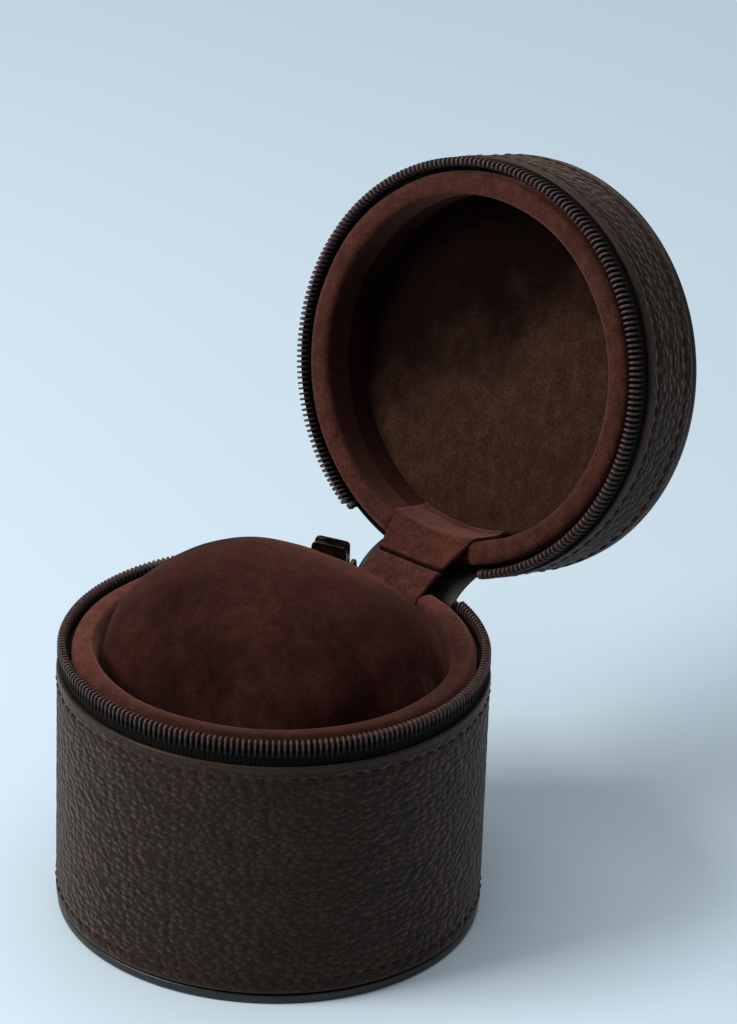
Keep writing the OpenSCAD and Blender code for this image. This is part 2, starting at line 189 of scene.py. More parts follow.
class CaseSizes(bpy.types.PropertyGroup):
    """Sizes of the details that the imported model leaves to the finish."""

    leather_t: length("Leather", 0.8 * MM, "Thickness of the leather at its turned edge")
    row: length("Grain row", 0.45 * MM, "Distance between mesh rows that carry the grain")
    pebble: length("Pebble", 2.0 * MM, "Width of one pebble of the grain")
    relief: length("Relief", 0.42 * MM, "Height of the pebbles over their creases")
    raised: length("Raised grain", 0.09 * MM, "Part of that height that the mesh itself has")
    stitch_margin: length("Stitch margin", 3.1 * MM, "Distance of the stitches from the turned edge")
    foot_margin: length("Foot margin", 2.9 * MM, "Distance of the stitches from the leather's far edge")
    stitch_groove: length("Groove", 0.22 * MM, "How far a row of stitches draws the leather in")
    stitch_pitch: length("Stitch pitch", 3.5 * MM, "Distance from stitch to stitch")
    stitch_l: length("Stitch length", 2.5 * MM, "Length of thread that shows in one stitch")
    thread_d: length("Thread", 0.55 * MM, "Thickness of the thread")
    crown: length("Lid crown", 0.6 * MM, "How far the disc on the lid is padded out")
    strap_w: length("Strap width", 18 * MM, "Width of the inner strap")
    strap_flare: length("Strap flare", 23 * MM, "Width of the inner strap inside the lid")
    strap_crease: length("Strap crease", 0.9 * MM, "Depth of the crease across the middle of the strap")
    strap_t: length("Strap thickness", 0.75 * MM, "Thickness of the inner strap")
    channel: length("Channel", 0.75 * MM, "How far the strap presses into the collars")
    seam_place: length("Pillow seam", 3.8 * MM, "Distance of the pillow's end seams from its ends")


class CaseColours(bpy.types.PropertyGroup):
    """Colours of the finishes and of the floor."""

    leather: tint("Leather", "#2d1f16", "Tops of the grain of the leather")
    # Crease is painted shade: the creases between the pebbles are coloured dark.
    crease: tint("Crease", "#0b0806", "Creases between the pebbles of the leather")
    edge: tint("Edge paint", "#171312", "Painted edges of the end discs")
    hinge: tint("Hinge leather", "#12100f", "Smooth band over the hinge")
    suede: tint("Suede", "#40241e", "Suede of the collars, linings and strap")
    # Suede shade is the darker tone of random patches of nap, painted shade on the collars and strap, and the
    # lit tone of the recess wall.
    suede_shade: tint("Suede shade", "#23110d", "Suede where its nap is brushed away from the light")
    pillow: tint("Pillow suede", "#2d1612", "Suede of the pillow")
    pillow_shade: tint("Pillow shade", "#1b0c09", "Suede of the pillow where its nap is brushed away")
    # Roof is the lit tone of the roof suede; roof shade is painted shadow, on the roof and the recess wall.
    roof: tint("Roof suede", "#35231a", "Suede on the roof of the lid, brushed towards the light")
    roof_shade: tint("Roof shade", "#0c0403", "Suede on the roof of the lid, brushed away from it")
    thread: tint("Thread", "#2d1513", "Sewing thread")
    tape: tint("Zip tape", "#0c0a09", "Woven tape of the zip")
    lacquer: tint("Zip teeth", "#241b1a", "Lacquer on the teeth")
    metal: tint("Zip metal", "#4a4241", "Slider and pull")
    board: tint("Board", "#231d1a", "Board inside the walls")
    foam: tint("Foam", "#57504a", "Foam inside the pads")
    floor: tint("Floor", "#c6d9e7", "Pale floor and background")


class CaseStage(bpy.types.PropertyGroup):
    """Camera and lamps."""

    azimuth: angle("Azimuth", 39.01, "Direction of the camera round the case")
    elevation: angle("Elevation", 25.50, "Height of the camera over the horizon")
    roll: angle("Roll", 2.03, "Turn of the camera about its line of sight")
    distance: length("Distance", 928.2 * MM, "Distance from the camera to its target")
    target: bpy.props.FloatVectorProperty(
        name="Target", default=(21.1 * MM, 3.95 * MM, 97.45 * MM), unit="LENGTH",
        description="Point in the middle of the picture",
    )
    lens: share("Lens", 158.4, "Focal length in millimetres on a 36 mm sensor")
    key_power: share("Key lamp", 9.0, "Power of the soft lamp on the left, in watts")
    top_power: share("Top lamp", 12.0, "Power of the wide lamp overhead, in watts")
    sky_power: share("Sky", 0.2, "Strength of the even light from all sides")


GROUPS = {"case_sizes": CaseSizes, "case_colours": CaseColours, "case_stage": CaseStage}


def sizes():
    return bpy.context.scene.case_sizes


def colours():
    return bpy.context.scene.case_colours


def add_piece(name, primitive, **where):
    """Adds a primitive with nothing else selected, and names it."""
    bpy.ops.object.select_all(action="DESELECT")
    primitive(**where)
    piece = bpy.context.object
    piece.name = name
    piece.data.name = name
    return piece


def pick(piece):
    """Makes a piece the active one, selected alone."""
    bpy.ops.object.select_all(action="DESELECT")
    piece.select_set(True)
    bpy.context.view_layer.objects.active = piece


@contextmanager
def editing(piece):
    """Edit mode on one piece alone, with all of it selected."""
    pick(piece)
    bpy.ops.object.mode_set(mode="EDIT")
    bpy.ops.mesh.select_all(action="SELECT")
    yield
    bpy.ops.object.mode_set(mode="OBJECT")


def weld():
    """Merges what lies together and turns all faces outwards, in edit mode."""
    bpy.ops.mesh.select_all(action="SELECT")
    bpy.ops.mesh.remove_doubles(threshold=WELD)
    bpy.ops.mesh.normals_make_consistent(inside=False)


def drawn(name, points):
    """A line drawn from point to point by extruding its end."""
    piece = add_piece(name, bpy.ops.mesh.primitive_plane_add, size=MM)
    with editing(piece):
        bpy.ops.mesh.merge(type="CENTER")
        bpy.ops.transform.translate(value=points[0])
        for here, there in zip(points, points[1:]):
            step = Vector(there) - Vector(here)
            bpy.ops.mesh.extrude_vertices_move(TRANSFORM_OT_translate={"value": step})
    return piece


def turned(name, body, outline, steps, start=0.0, sweep=FULL_TURN):
    """A solid turned about the drum's axis from (radius, depth) points.

    An outline that starts and ends on the axis makes a disc, and any other is closed to make a ring.
    """
    way = TOWARDS[body]
    points = [(r * math.cos(start), r * math.sin(start), RIM + way * depth) for r, depth in outline]
    if outline[0][0] > WELD:
        points.append(points[0])
    piece = drawn(name, points)
    with editing(piece):
        bpy.ops.mesh.remove_doubles(threshold=WELD)
        bpy.ops.mesh.select_all(action="SELECT")
        if sweep < FULL_TURN:
            bpy.ops.mesh.edge_face_add()
        bpy.ops.mesh.spin(steps=steps, angle=-sweep, center=(0, 0, 0), axis=(0, 0, 1))
        weld()
    return piece


def arc(centre, radius, start, end, count):
    """Points along an arc, from angle start to angle end in degrees."""
    turns = [math.radians(start + (end - start) * i / count) for i in range(count + 1)]
    return [(centre[0] + radius * math.cos(t), centre[1] + radius * math.sin(t)) for t in turns]


def rows(start, end, spacing):
    """Evenly spaced values between start and end, both left out."""
    count = max(1, round((end - start) / spacing))
    return [start + (end - start) * i / count for i in range(1, count)]


def smooth(t):
    """Eases from 0 to 1."""
    t = min(1.0, max(0.0, t))
    return t * t * (3 - 2 * t)


def points_of(piece, what="co"):
    """The places of a piece's points, or their normals, as an array."""
    values = np.zeros(len(piece.data.vertices) * 3, np.float32)
    piece.data.vertices.foreach_get(what, values)
    return values.reshape(-1, 3)


def place_points(piece, places):
    """Moves a piece's points to new places."""
    piece.data.vertices.foreach_set("co", np.asarray(places, np.float32).ravel())
    piece.data.update()


def apply_modifier(piece, kind, **settings):
    """Adds a modifier with its settings and applies it."""
    modifier = piece.modifiers.new(kind.title(), kind)
    for name, value in settings.items():
        setattr(modifier, name, value)
    pick(piece)
    bpy.ops.object.modifier_apply(modifier=modifier.name)


def dress(piece, body, kind, stands_for=(), crisp=40, in_place=False):
    """Gives a piece its shading, finish and body, and opens a lid piece that isn't in place yet."""
    pick(piece)
    if not in_place:
        if body == "lid":
            piece.matrix_world = OPENED
        bpy.ops.object.transform_apply(location=True, rotation=True, scale=True)
    bpy.ops.object.shade_smooth_by_angle(angle=math.radians(crisp))
    if not piece.data.materials:
        piece.data.materials.append(material_of(kind))
    if stands_for:
        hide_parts(*stands_for)
    if body:
        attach(piece, body)


def undulate(piece, height, width, seed):
    """Makes a soft surface slightly uneven, in swells of about the given width."""
    places = points_of(piece)
    swell = [noise.noise(Vector(p) / width + Vector((seed, 0, 0))) for p in places]
    place_points(piece, places + points_of(piece, "normal") * (np.array(swell) * height)[:, None])


# Materials


def feed(tree, node, inputs):
    """Feeds a node's inputs by name or number, from a value or a socket, and leaves out what is None."""
    for name, value in inputs.items():
        if isinstance(value, bpy.types.NodeSocket):
            tree.links.new(value, node.inputs[name])
        elif value is not None:
            node.inputs[name].default_value = value


def add_node(tree, kind, *inputs, out=0, **settings):
    """Adds a node with its settings, feeds its inputs and returns one of its outputs.

    The inputs come in the node's own order, or as one dict. A kind such as Math is ShaderNodeMath.
    """
    node = tree.nodes.new(kind if "Node" in kind else "ShaderNode" + kind)
    for name, value in settings.items():
        setattr(node, name, value)
    named = inputs and isinstance(inputs[0], dict)
    feed(tree, node, inputs[0] if named else dict(enumerate(inputs)))
    return node.outputs[out] if node.outputs else None


def spots(tree, width, detail=2.0, roughness=0.5, squeeze=(1, 1, 1)):
    """Noise whose spots are about width across, and narrower along an axis that is squeezed over 1."""
    place = add_node(tree, "TexCoord", out="Object")
    scaled = add_node(tree, "Mapping", {"Vector": place, "Scale": [s / width for s in squeeze]})
    look = {"Vector": scaled, "Scale": 1.0, "Detail": detail, "Roughness": roughness}
    return add_node(tree, "TexNoise", look, out="Fac")


def toned(colour, times):
    """A lighter or darker tone of a colour."""
    return tuple(c * times for c in list(colour)[:3]) + (1.0,)


def shades(tree, pattern, colour, low, high, start=0.3, end=0.7):
    """Tones of a colour, from low to high times it, where a pattern goes from start to end."""
    result = add_node(tree, "ValToRGB", pattern)
    for stop, place, times in zip(result.node.color_ramp.elements, (start, end), (low, high)):
        stop.position = place
        stop.color = toned(colour, times)
    return result


def relief(tree, *layers):
    """Relief in layers, the lowest first, each as (pattern, height in metres, strength)."""
    normal = None
    for pattern, height, strength in layers:
        inputs = {"Height": pattern, "Distance": height, "Strength": strength, "Normal": normal}
        normal = add_node(tree, "Bump", inputs)
    return normal


def mottled(colour, pattern, low, high, rough, specular, layers=(), rougher=0.0, metallic=0.0):
    """A finish whose tones, roughness and relief follow one pattern of spots.

    A layer of the relief is (its own pattern, or None for the same one, height, strength).
    """

    def finish(tree):
        main = spots(tree, *pattern)
        heights = [(spots(tree, *own) if own else main, height, strength) for own, height, strength in layers]
        gloss = add_node(tree, "Math", main, rougher, rough, operation="MULTIPLY_ADD") if rougher else rough
        return {
            "Base Color": shades(tree, main, getattr(colours(), colour), low, high),
            "Roughness": gloss,
            "Specular IOR Level": specular,
            "Metallic": metallic,
            "Normal": relief(tree, *heights),
        }

    return finish


def pebbles(tree, place):
    """The pattern of the pebbles: the height of their domes, and a mask that is 0 in the creases."""
    width = sizes().pebble
    wider_than_tall = (1, 1, 1.55)
    shifted = place
    for swirls, reach in ((0.45, 0.8), (1.3, 0.35)):
        swirl = add_node(tree, "TexNoise", {"Vector": place, "Scale": swirls / width}, out="Color")
        push = [width * reach] * 3
        shifted = add_node(tree, "VectorMath", swirl, push, shifted, operation="MULTIPLY_ADD")
    flat = add_node(tree, "VectorMath", shifted, wider_than_tall, operation="MULTIPLY")
    cells = {"Vector": flat, "Scale": 1 / width, "Randomness": 0.85}
    domes = add_node(tree, "TexVoronoi", {**cells, "Smoothness": 0.3}, feature="SMOOTH_F1")
    edges = add_node(tree, "TexVoronoi", cells, feature="DISTANCE_TO_EDGE")
    return [
        add_node(tree, "MapRange", value, low, high, interpolation_type="SMOOTHSTEP")
        for value, low, high in ((domes, 0.8, 0.1), (edges, 0.0, 0.22))
    ]


def pebbled_leather(tree):
    """Tumbled calf leather, dyed and lightly waxed.

    Pebbles catch a soft broad shine, their creases are painted dark as shade, and fine wrinkles show
    close up. The turned edges have no pebbles and are burnished.
    """
    tones = colours()
    place = add_node(tree, "Attribute", out="Vector", attribute_name="shut_place")
    area = add_node(tree, "Attribute", out="Fac", attribute_name="pebbled")
    dome, crease = pebbles(tree, place)
    plain = add_node(tree, "Math", 1.0, area, operation="SUBTRACT")
    depth = add_node(tree, "Math", crease, 0.75, 0.25, operation="MULTIPLY_ADD")
    turned_edge = add_node(tree, "Math", plain, 0.75, operation="MULTIPLY")
    full = add_node(tree, "Math", depth, turned_edge, operation="MAXIMUM")
    patches = shades(tree, spots(tree, 9 * MM, 3.0), tones.leather, 0.78, 1.25)
    height = add_node(tree, "Math", dome, area, operation="MULTIPLY")
    wrinkles = spots(tree, 0.9 * MM, 4.0, 0.6, (1, 1, 1.8))
    gloss = add_node(tree, "Math", spots(tree, 0.5 * MM, 3.0), 0.2, 0.5, operation="MULTIPLY_ADD")
    return {
        # The crease colour goes into the creases between the pebbles: painted shade.
        "Base Color": add_node(tree, "Mix", {0: full, 6: tones.crease, 7: patches}, **MIXED_COLOUR),
        "Roughness": add_node(tree, "Math", plain, -0.2, gloss, operation="MULTIPLY_ADD"),
        "Specular IOR Level": 0.02,
        "Coat Weight": add_node(tree, "Math", plain, 0.15, 0.13, operation="MULTIPLY_ADD"),
        "Coat Roughness": 0.42,
        "Sheen Weight": 0.16,
        "Sheen Roughness": SHEEN_ROUGHNESS,
        "Sheen Tint": (1.0, 0.84, 0.76, 1.0),
        "Normal": relief(tree, (height, sizes().relief, 1.0), (wrinkles, 0.07 * MM, 0.6)),
    }


def distance_along(tree, way):
    """How far a point lies along a direction, from the origin."""
    place = add_node(tree, "TexCoord", out="Object")
    return add_node(tree, "VectorMath", place, way, out="Value", operation="DOT_PRODUCT")


def brushed(tree, lean, full, none, ragged, patch):
    """Painted light and shade along a direction: 1 where the suede is painted lit, 0 where it is painted in
    shade.

    It goes from 1 at the distance full to 0 at the distance none, with a ragged boundary.
    """
    ruffle = spots(tree, patch, 4.0, 0.65)
    uneven = add_node(tree, "Math", ruffle, ragged, distance_along(tree, lean), operation="MULTIPLY_ADD")
    ends = (none + ragged / 2, full + ragged / 2)
    return add_node(tree, "MapRange", uneven, *ends, interpolation_type="SMOOTHSTEP")


def patchy_nap(patch):
    """Nap in patches of about the given width."""
    return lambda tree: shades(tree, spots(tree, patch, 3.0, 0.55, TALLER), WHITE, 0, 1, 0.34, 0.66)


def roof_painted_shadow(tree):
    """Painted light and shadow on the roof: golden where painted lit at the front right, a painted shadow at
    the rear left.
    """
    lean = OPENED.to_3x3() @ Vector((-0.62, -0.78, 0))
    edge = (OPENED @ Vector((0, 0, RIM + ROOF_DEPTH))).dot(lean) + 5 * MM
    return brushed(tree, lean, full=edge - 15 * MM, none=edge + 12 * MM, ragged=30 * MM, patch=13 * MM)


def base_collar_painted_light(tree):
    """Painted light on the base's collar: lit towards the rear left, and painted in shade towards the front
    right.
    """
    lean = Vector((-0.86, 0.59, 0))
    return brushed(tree, lean, full=22 * MM, none=-44 * MM, ragged=16 * MM, patch=9 * MM)


def lid_collar_painted_shade(tree):
    """Painted shade on the lid's collar: its rim keeps the lit tone, and its inner wall is painted dark as
    shade.
    """
    inwards = OPENED.to_3x3() @ Vector((0, 0, 1))
    rim = (OPENED @ Vector((0, 0, RIM))).dot(inwards)
    ends = {"full": rim + 0.4 * MM, "none": rim + 2.4 * MM}
    return brushed(tree, inwards, **ends, ragged=1.6 * MM, patch=7 * MM)


def from_mouths(tree):
    """Distances of a point out of the mouths of the base and of the opened lid, negative inside them."""
    outwards = OPENED.to_3x3() @ Vector((0, 0, -1))
    lid_mouth = (OPENED @ Vector((0, 0, RIM))).dot(outwards)
    return [
        add_node(tree, "Math", distance_along(tree, way), mouth, operation="SUBTRACT")
        for way, mouth in ((Vector((0, 0, 1)), RIM), (outwards, lid_mouth))
    ]


def strap_crease_shade(tree):
    """Painted shade on the strap: dark along its crease, which lies a little nearer to the base."""
    nearer_base = 1.7 * MM
    crease_shade_width, full = 0.25 * MM, 1.2 * MM
    apart = add_node(tree, "Math", *from_mouths(tree), operation="SUBTRACT")
    from_crease = add_node(tree, "Math", apart, nearer_base, operation="ADD")
    off = add_node(tree, "Math", from_crease, operation="ABSOLUTE")
    return add_node(tree, "MapRange", off, crease_shade_width, full, interpolation_type="SMOOTHSTEP")


def suede(light, dark, nap, sheen, fibre=0.5 * MM):
    """Pig suede that goes from a light to a dark tone along a pattern: random patches of nap on some kinds,
    painted light and shade on the collars, strap, recess wall and roof.

    Both are given as (colour, times). It has no gloss and a soft sheen at grazing angles. The nap's
    fibres are drawn about twice as coarse as they are, or they wouldn't show.
    """

    def finish(tree):
        tones = [toned(getattr(colours(), colour), times) for colour, times in (dark, light)]
        fibres = spots(tree, fibre, 4.0, 0.7)
        mottle = spots(tree, 3.2 * MM, 3.0, 0.62, TALLER)
        sides = []
        for tone in tones:
            spotted = shades(tree, mottle, tone, 0.5, 1.5, *SPREAD)
            sides.append(add_node(tree, "Mix", {0: 0.5, 6: spotted, 7: tone}, **MIXED_COLOUR))
        # Where the kind asks for it, this mix paints light and shade into the colour.
        colour = add_node(tree, "Mix", {0: nap(tree), 6: sides[0], 7: sides[1]}, **MIXED_COLOUR)
        flecks = shades(tree, fibres, WHITE, 0.45, 1.55, *SPREAD)
        flecked = add_node(tree, "Mix", {0: 0.7, 6: colour, 7: flecks}, blend_type="MULTIPLY", **MIXED_COLOUR)
        brightest = max(tones[1][:3])
        return {
            "Base Color": flecked,
            "Roughness": 0.95,
            "Specular IOR Level": 0.03,
            "Sheen Weight": sheen,
            "Sheen Roughness": SHEEN_ROUGHNESS,
            "Sheen Tint": tuple(0.15 + 0.85 * c / brightest for c in tones[1][:3]) + (1.0,),
            "Normal": relief(tree, (fibres, 0.18 * MM, 0.8), (mottle, 0.3 * MM, 0.6)),
        }

    return finish


def woven_tape(tree):
    """Polyester zip tape, woven in fine ribs that run across it, with a matt sheen."""
    weave = add_node(tree, "UVMap", uv_map="Weave")
    across = {"Vector": weave, "Scale": 0.33, "Distortion": 0.6, "Detail": 1.0, "Detail Scale": 2.0}
    along = {"Vector": weave, "Scale": 0.7, "Distortion": 0.3}
    ribs, threads = [
        add_node(tree, "TexWave", look, out="Fac", wave_type="BANDS", bands_direction=way)
        for look, way in ((across, "X"), (along, "Y"))
    ]
    return {
        "Base Color": shades(tree, ribs, colours().tape, 0.5, 1.5, 0.1, 0.9),
        "Roughness": 0.85,
        "Specular IOR Level": 0.08,
        "Normal": relief(tree, (ribs, 0.12 * MM, 0.8), (threads, 0.05 * MM, 0.6)),
    }


def lacquered_teeth(tree):
    """Brass teeth under black lacquer: their rounded heads carry a painted highlight, and their feet painted
    shade.
    """
    tone = colours().lacquer
    head_end, foot_start = 0.7 * MM, 1.7 * MM
    sides = [add_node(tree, "Math", distance, operation="ABSOLUTE") for distance in from_mouths(tree)]
    nearest = add_node(tree, "Math", *sides, operation="MINIMUM")
    foot = add_node(tree, "MapRange", nearest, head_end, foot_start)
    # Painted highlight: the heads are coloured 2 to 4.5 times the lacquer; painted shade: the feet, half of
    # it.
    heads = shades(tree, spots(tree, 1.2 * MM, 4.0, 0.6), tone, 2.0, 4.5)
    return {
        "Base Color": add_node(tree, "Mix", {0: foot, 6: heads, 7: toned(tone, 0.5)}, **MIXED_COLOUR),
        "Roughness": add_node(tree, "Math", foot, 0.5, 0.35, operation="MULTIPLY_ADD"),
        "Specular IOR Level": 0.25,
        "Normal": relief(tree, (spots(tree, 0.3 * MM, 3.0), 0.02 * MM, 0.4)),
    }


def cut_foam(tree):
    """Open-cell foam, cut with a knife: matt, full of small cells."""
    place = add_node(tree, "TexCoord", out="Object")
    cells = add_node(tree, "TexVoronoi", {"Vector": place, "Scale": 1 / (0.7 * MM)})
    return {
        "Base Color": shades(tree, cells, colours().foam, 0.55, 1.0, 0.0, 0.5),
        "Roughness": 0.95,
        "Specular IOR Level": 0.15,
        "Normal": relief(tree, (cells, 0.2 * MM, 0.7)),
    }


# The name and the finish of each material
FINISHES = {
    "leather": ("pebbled_calf_leather", pebbled_leather),
    # Thin smooth leather of the hinge band: matt, with faint creases across the fold
    "hinge": ("smooth_hinge_leather", mottled(
        "hinge", (1.6 * MM, 4.0, 0.6, (0.25, 1, 1)), 0.7, 1.5, 0.55, 0.4,
        [(None, 0.12 * MM, 0.8), ((0.4 * MM, 3.0), 0.04 * MM, 0.6)],
    )),
    # Brushed edge paint on cut leather: dark, satin and slightly uneven
    "edge": ("brushed_edge_paint", mottled(
        "edge", (1.2 * MM, 4.0, 0.6, (0.5, 0.5, 3)), 0.75, 1.35, 0.28, 0.5, [(None, 0.06 * MM, 0.5)], 0.25
    )),
    "suede": ("brushed_pig_suede", suede(("suede", 1), ("suede_shade", 1), patchy_nap(9 * MM), 0.25)),
    # On the base's collar, light is painted towards the rear left and shade towards the front right.
    "base_collar": ("light_pig_suede", suede(("suede", 1.35), ("suede_shade", 1), base_collar_painted_light, 0.3)),
    # On the lid's collar, shade is painted on its inner wall.
    "lid_collar": ("rolled_pig_suede", suede(("suede", 0.95), ("suede_shade", 0.6), lid_collar_painted_shade, 0.25)),
    # On the strap, shade is painted along its crease.
    "strap": ("creased_pig_suede", suede(("suede", 1), ("suede_shade", 0.25), strap_crease_shade, 0.25)),
    # The recess wall is painted lit at the front right and in painted shadow at the rear left.
    "recess": ("shaded_pig_suede", suede(("suede_shade", 1), ("roof_shade", 1), roof_painted_shadow, 0.1)),
    "pillow": ("dark_pig_suede", suede(("pillow", 1), ("pillow_shade", 1), patchy_nap(14 * MM), 0.16)),
    # The roof is painted golden and lit at the front right, and in painted shadow at the rear left.
    "roof": ("golden_brown_suede", suede(("roof", 1), ("roof_shade", 1), roof_painted_shadow, 0.08, 0.6 * MM)),
    "lacquer": ("black_lacquered_brass", lacquered_teeth),
    "tape": ("woven_polyester_tape", woven_tape),
    # Brass with a gunmetal plating: dark grey, satin, worn brighter on its high places
    "metal": ("gunmetal_plated_brass", mottled(
        "metal", (1.5 * MM, 4.0, 0.6), 0.55, 1.3, 0.24, 0.5, [((0.3 * MM, 3.0), 0.02 * MM, 0.4)], 0.25, 1.0
    )),
    # Bonded polyester thread, twisted: nearly matt
    "thread": ("bonded_polyester_thread", mottled(
        "thread", (0.35 * MM, 2.0, 0.5, (1, 1, 2)), 0.6, 1.5, 0.7, 0.1, [(None, 0.06 * MM, 0.8)]
    )),
    # Pressed board, dyed through: matt, with short fibres
    "board": ("dyed_pressed_board", mottled(
        "board", (1.0 * MM, 4.0, 0.65, (1, 0.3, 1)), 0.8, 1.2, 0.9, 0.2, [(None, 0.08 * MM, 0.5)]
    )),
    "foam": ("open_cell_foam", cut_foam),
    # Uncoated paper: matt and almost even
    "paper": ("pale_paper", mottled("floor", (0.6, 2.0), 0.97, 1.03, 0.9, 0.1)),
}
made_materials = {}


def material_of(kind):
    """The one material of a kind, made when it is first asked for."""
    if kind not in made_materials:
        name, finish = FINISHES[kind]
        material = bpy.data.materials.new(name)
        material.use_nodes = True
        tree = material.node_tree
        feed(tree, tree.nodes["Principled BSDF"], finish(tree))
        made_materials[kind] = material
    return made_materials[kind]


# Leather


def raise_grain(piece):
    """Raises the pebbles in the mesh itself, where the attribute pebbled asks for them."""
    group = bpy.data.node_groups.new("raised_pebbles", "GeometryNodeTree")
    for way in ("INPUT", "OUTPUT"):
        group.interface.new_socket("Geometry", in_out=way, socket_type="NodeSocketGeometry")
    mesh_in = add_node(group, "NodeGroupInput")
    area, place = [
        add_node(group, "GeometryNodeInputNamedAttribute", {"Name": name}, out="Attribute", data_type=kind)
        for name, kind in (("pebbled", "FLOAT"), ("shut_place", "FLOAT_VECTOR"))
    ]
    height = sizes().raised
    depth = add_node(group, "Math", pebbles(group, place)[0], height, -height, operation="MULTIPLY_ADD")
    lift = add_node(group, "Math", depth, area, operation="MULTIPLY")
    outwards = add_node(group, "GeometryNodeInputNormal")
    offset = add_node(group, "VectorMath", {0: outwards, "Scale": lift}, operation="SCALE")
    moved = add_node(group, "GeometryNodeSetPosition", {"Geometry": mesh_in, "Offset": offset})
    add_node(group, "NodeGroupOutput", moved)
    apply_modifier(piece, "NODES", node_group=group)


def mark_pebbled(piece, area):
    """Keeps how much of the grain each point shows, from 0 to 1, and its place on the shut case."""
    attributes = piece.data.attributes
    attributes.new("pebbled", "FLOAT", "POINT").data.foreach_set("value", area.astype(np.float32))
    attributes.new("shut_place", "FLOAT_VECTOR", "POINT").data.foreach_set("vector", points_of(piece).ravel())


def dip(distance, width):
    """A soft groove, 1 at its middle."""
    return math.exp(-((distance / width) ** 2))


def wall_outline(end):
    """Outline of a leather wall: a turned edge, a row of stitches near each end, and rows for the grain."""
    size = sizes()
    half = size.leather_t / 2
    turned_in = BAND + 9 * MM
    foot_round = 0.45 * MM
    inner = CASE_R - size.leather_t
    backed = bore("base_leather")
    swell = 0.12 * MM
    groove_w = 0.55 * MM

    def outer(depth):
        from_edge = depth - BAND
        from_foot = end - depth
        grooves = dip(from_edge - size.stitch_margin, groove_w) + dip(from_foot - size.foot_margin, groove_w)
        bulge = math.sin(math.pi * min(1.0, from_edge / size.stitch_margin))
        return CASE_R - size.stitch_groove * grooves + swell * (bulge - 1 if from_edge < 0 else bulge)

    wall = [(outer(depth), depth) for depth in rows(BAND + half, end - foot_round, size.row)]
    return (
        [(inner, turned_in)]
        + arc((CASE_R - half, BAND + half), half, 180, 360, 8)
        + wall
        + arc((CASE_R - foot_round, end - foot_round), foot_round, 0, 90, 4)
        + [(backed, end), (backed, turned_in)]
    )


class CASE_OT_leather_walls(bpy.types.Operator):
    """Wraps the pebbled leather round the base and the lid"""

    bl_idname = "travel_case.leather_walls"
    bl_label = "Leather Walls"

    def execute(self, context):
        size = sizes()
        seam_w, seam_d = 0.4 * MM, 0.3 * MM
        fade, foot, worn_w = MM, 0.4 * MM, 0.7 * MM
        for body, node, end in (("base", "base_leather", BASE_WALL), ("lid", "lid_leather", LID_WALL)):
            steps = round(FULL_TURN * CASE_R / size.row)
            piece = turned(f"{body}_leather_wall", body, wall_outline(end), steps)
            places, normals = points_of(piece), points_of(piece, "normal")
            depth = TOWARDS[body] * (places[:, 2] - RIM)
            radius = np.hypot(places[:, 0], places[:, 1])
            edge = np.clip((depth - BAND - fade) / fade, 0, 1) * np.clip((end - depth - foot) / fade, 0, 1)
            outward = (places[:, 0] * normals[:, 0] + places[:, 1] * normals[:, 1]) / radius
            by_seams = sum(
                np.exp(-(((depth - seam) / worn_w) ** 2))
                for seam in (BAND + size.stitch_margin, end - size.foot_margin)
            )
            mark_pebbled(piece, edge * (1 - 0.8 * by_seams) * (outward > 0.5))
            rear = np.where(places[:, 1] > 0, np.exp(-((places[:, 0] / seam_w) ** 2)), 0)
            outer_side = radius > CASE_R - size.leather_t / 2
            places[:, :2] *= (1 - seam_d * rear * outer_side / CASE_R)[:, None]
            place_points(piece, places)
            dress(piece, body, "leather", [node], crisp=60)
            raise_grain(piece)
        return {"FINISHED"}


def stitch_row(name, body, radius, depth):
    """A row of stitches round the drum: one, whose ends dip in, and turned copies of it."""
    size = sizes()
    count = round(FULL_TURN * radius / size.stitch_pitch)
    lean = math.radians(5)
    proud, sunk, slimmer = 0.1 * MM, 0.45 * MM, 0.35
    thread = {"vertices": 8, "radius": size.thread_d / 2, "depth": size.stitch_l}
    piece = add_piece(name, bpy.ops.mesh.primitive_cylinder_add, rotation=(math.pi / 2, 0, 0), **thread)
    bpy.ops.object.transform_apply(location=False, rotation=True, scale=False)
    with editing(piece):
        for cut in (-0.3, 0.0, 0.3):
            bpy.ops.mesh.select_all(action="SELECT")
            bpy.ops.mesh.bisect(plane_co=(0, cut * size.stitch_l, 0), plane_no=(0, 1, 0))
        bpy.ops.mesh.select_all(action="SELECT")
        bpy.ops.transform.rotate(value=lean, orient_axis="X", center_override=(0, 0, 0))
    places = points_of(piece)
    near_end = (np.abs(places[:, 1]) / (size.stitch_l / 2)) ** 4
    places[:, 0] += proud - sunk * near_end
    places[:, 2] *= 1 - slimmer * near_end
    places[:, 0] += radius
    places[:, 2] += RIM + TOWARDS[body] * depth
    place_points(piece, places)
    with editing(piece):
        sweep = FULL_TURN * (count - 1) / count
        bpy.ops.mesh.spin(steps=count - 1, dupli=True, angle=sweep, center=(0, 0, 0), axis=(0, 0, 1))
        bpy.ops.mesh.select_all(action="SELECT")
        bpy.ops.mesh.normals_make_consistent(inside=False)
    dress(piece, body, "thread")


class CASE_OT_stitches(bpy.types.Operator):
    """Sews a row of stitches along both edges of each leather wall"""

    bl_idname = "travel_case.stitches"
    bl_label = "Stitches"

    def execute(self, context):
        size = sizes()
        radius = CASE_R - size.stitch_groove + size.thread_d * 0.1
        for body, end in (("base", BASE_WALL), ("lid", LID_WALL)):
            stitch_row(f"{body}_rim_stitches", body, radius, BAND + size.stitch_margin)
            stitch_row(f"{body}_end_stitches", body, radius, end - size.foot_margin)
        return {"FINISHED"}


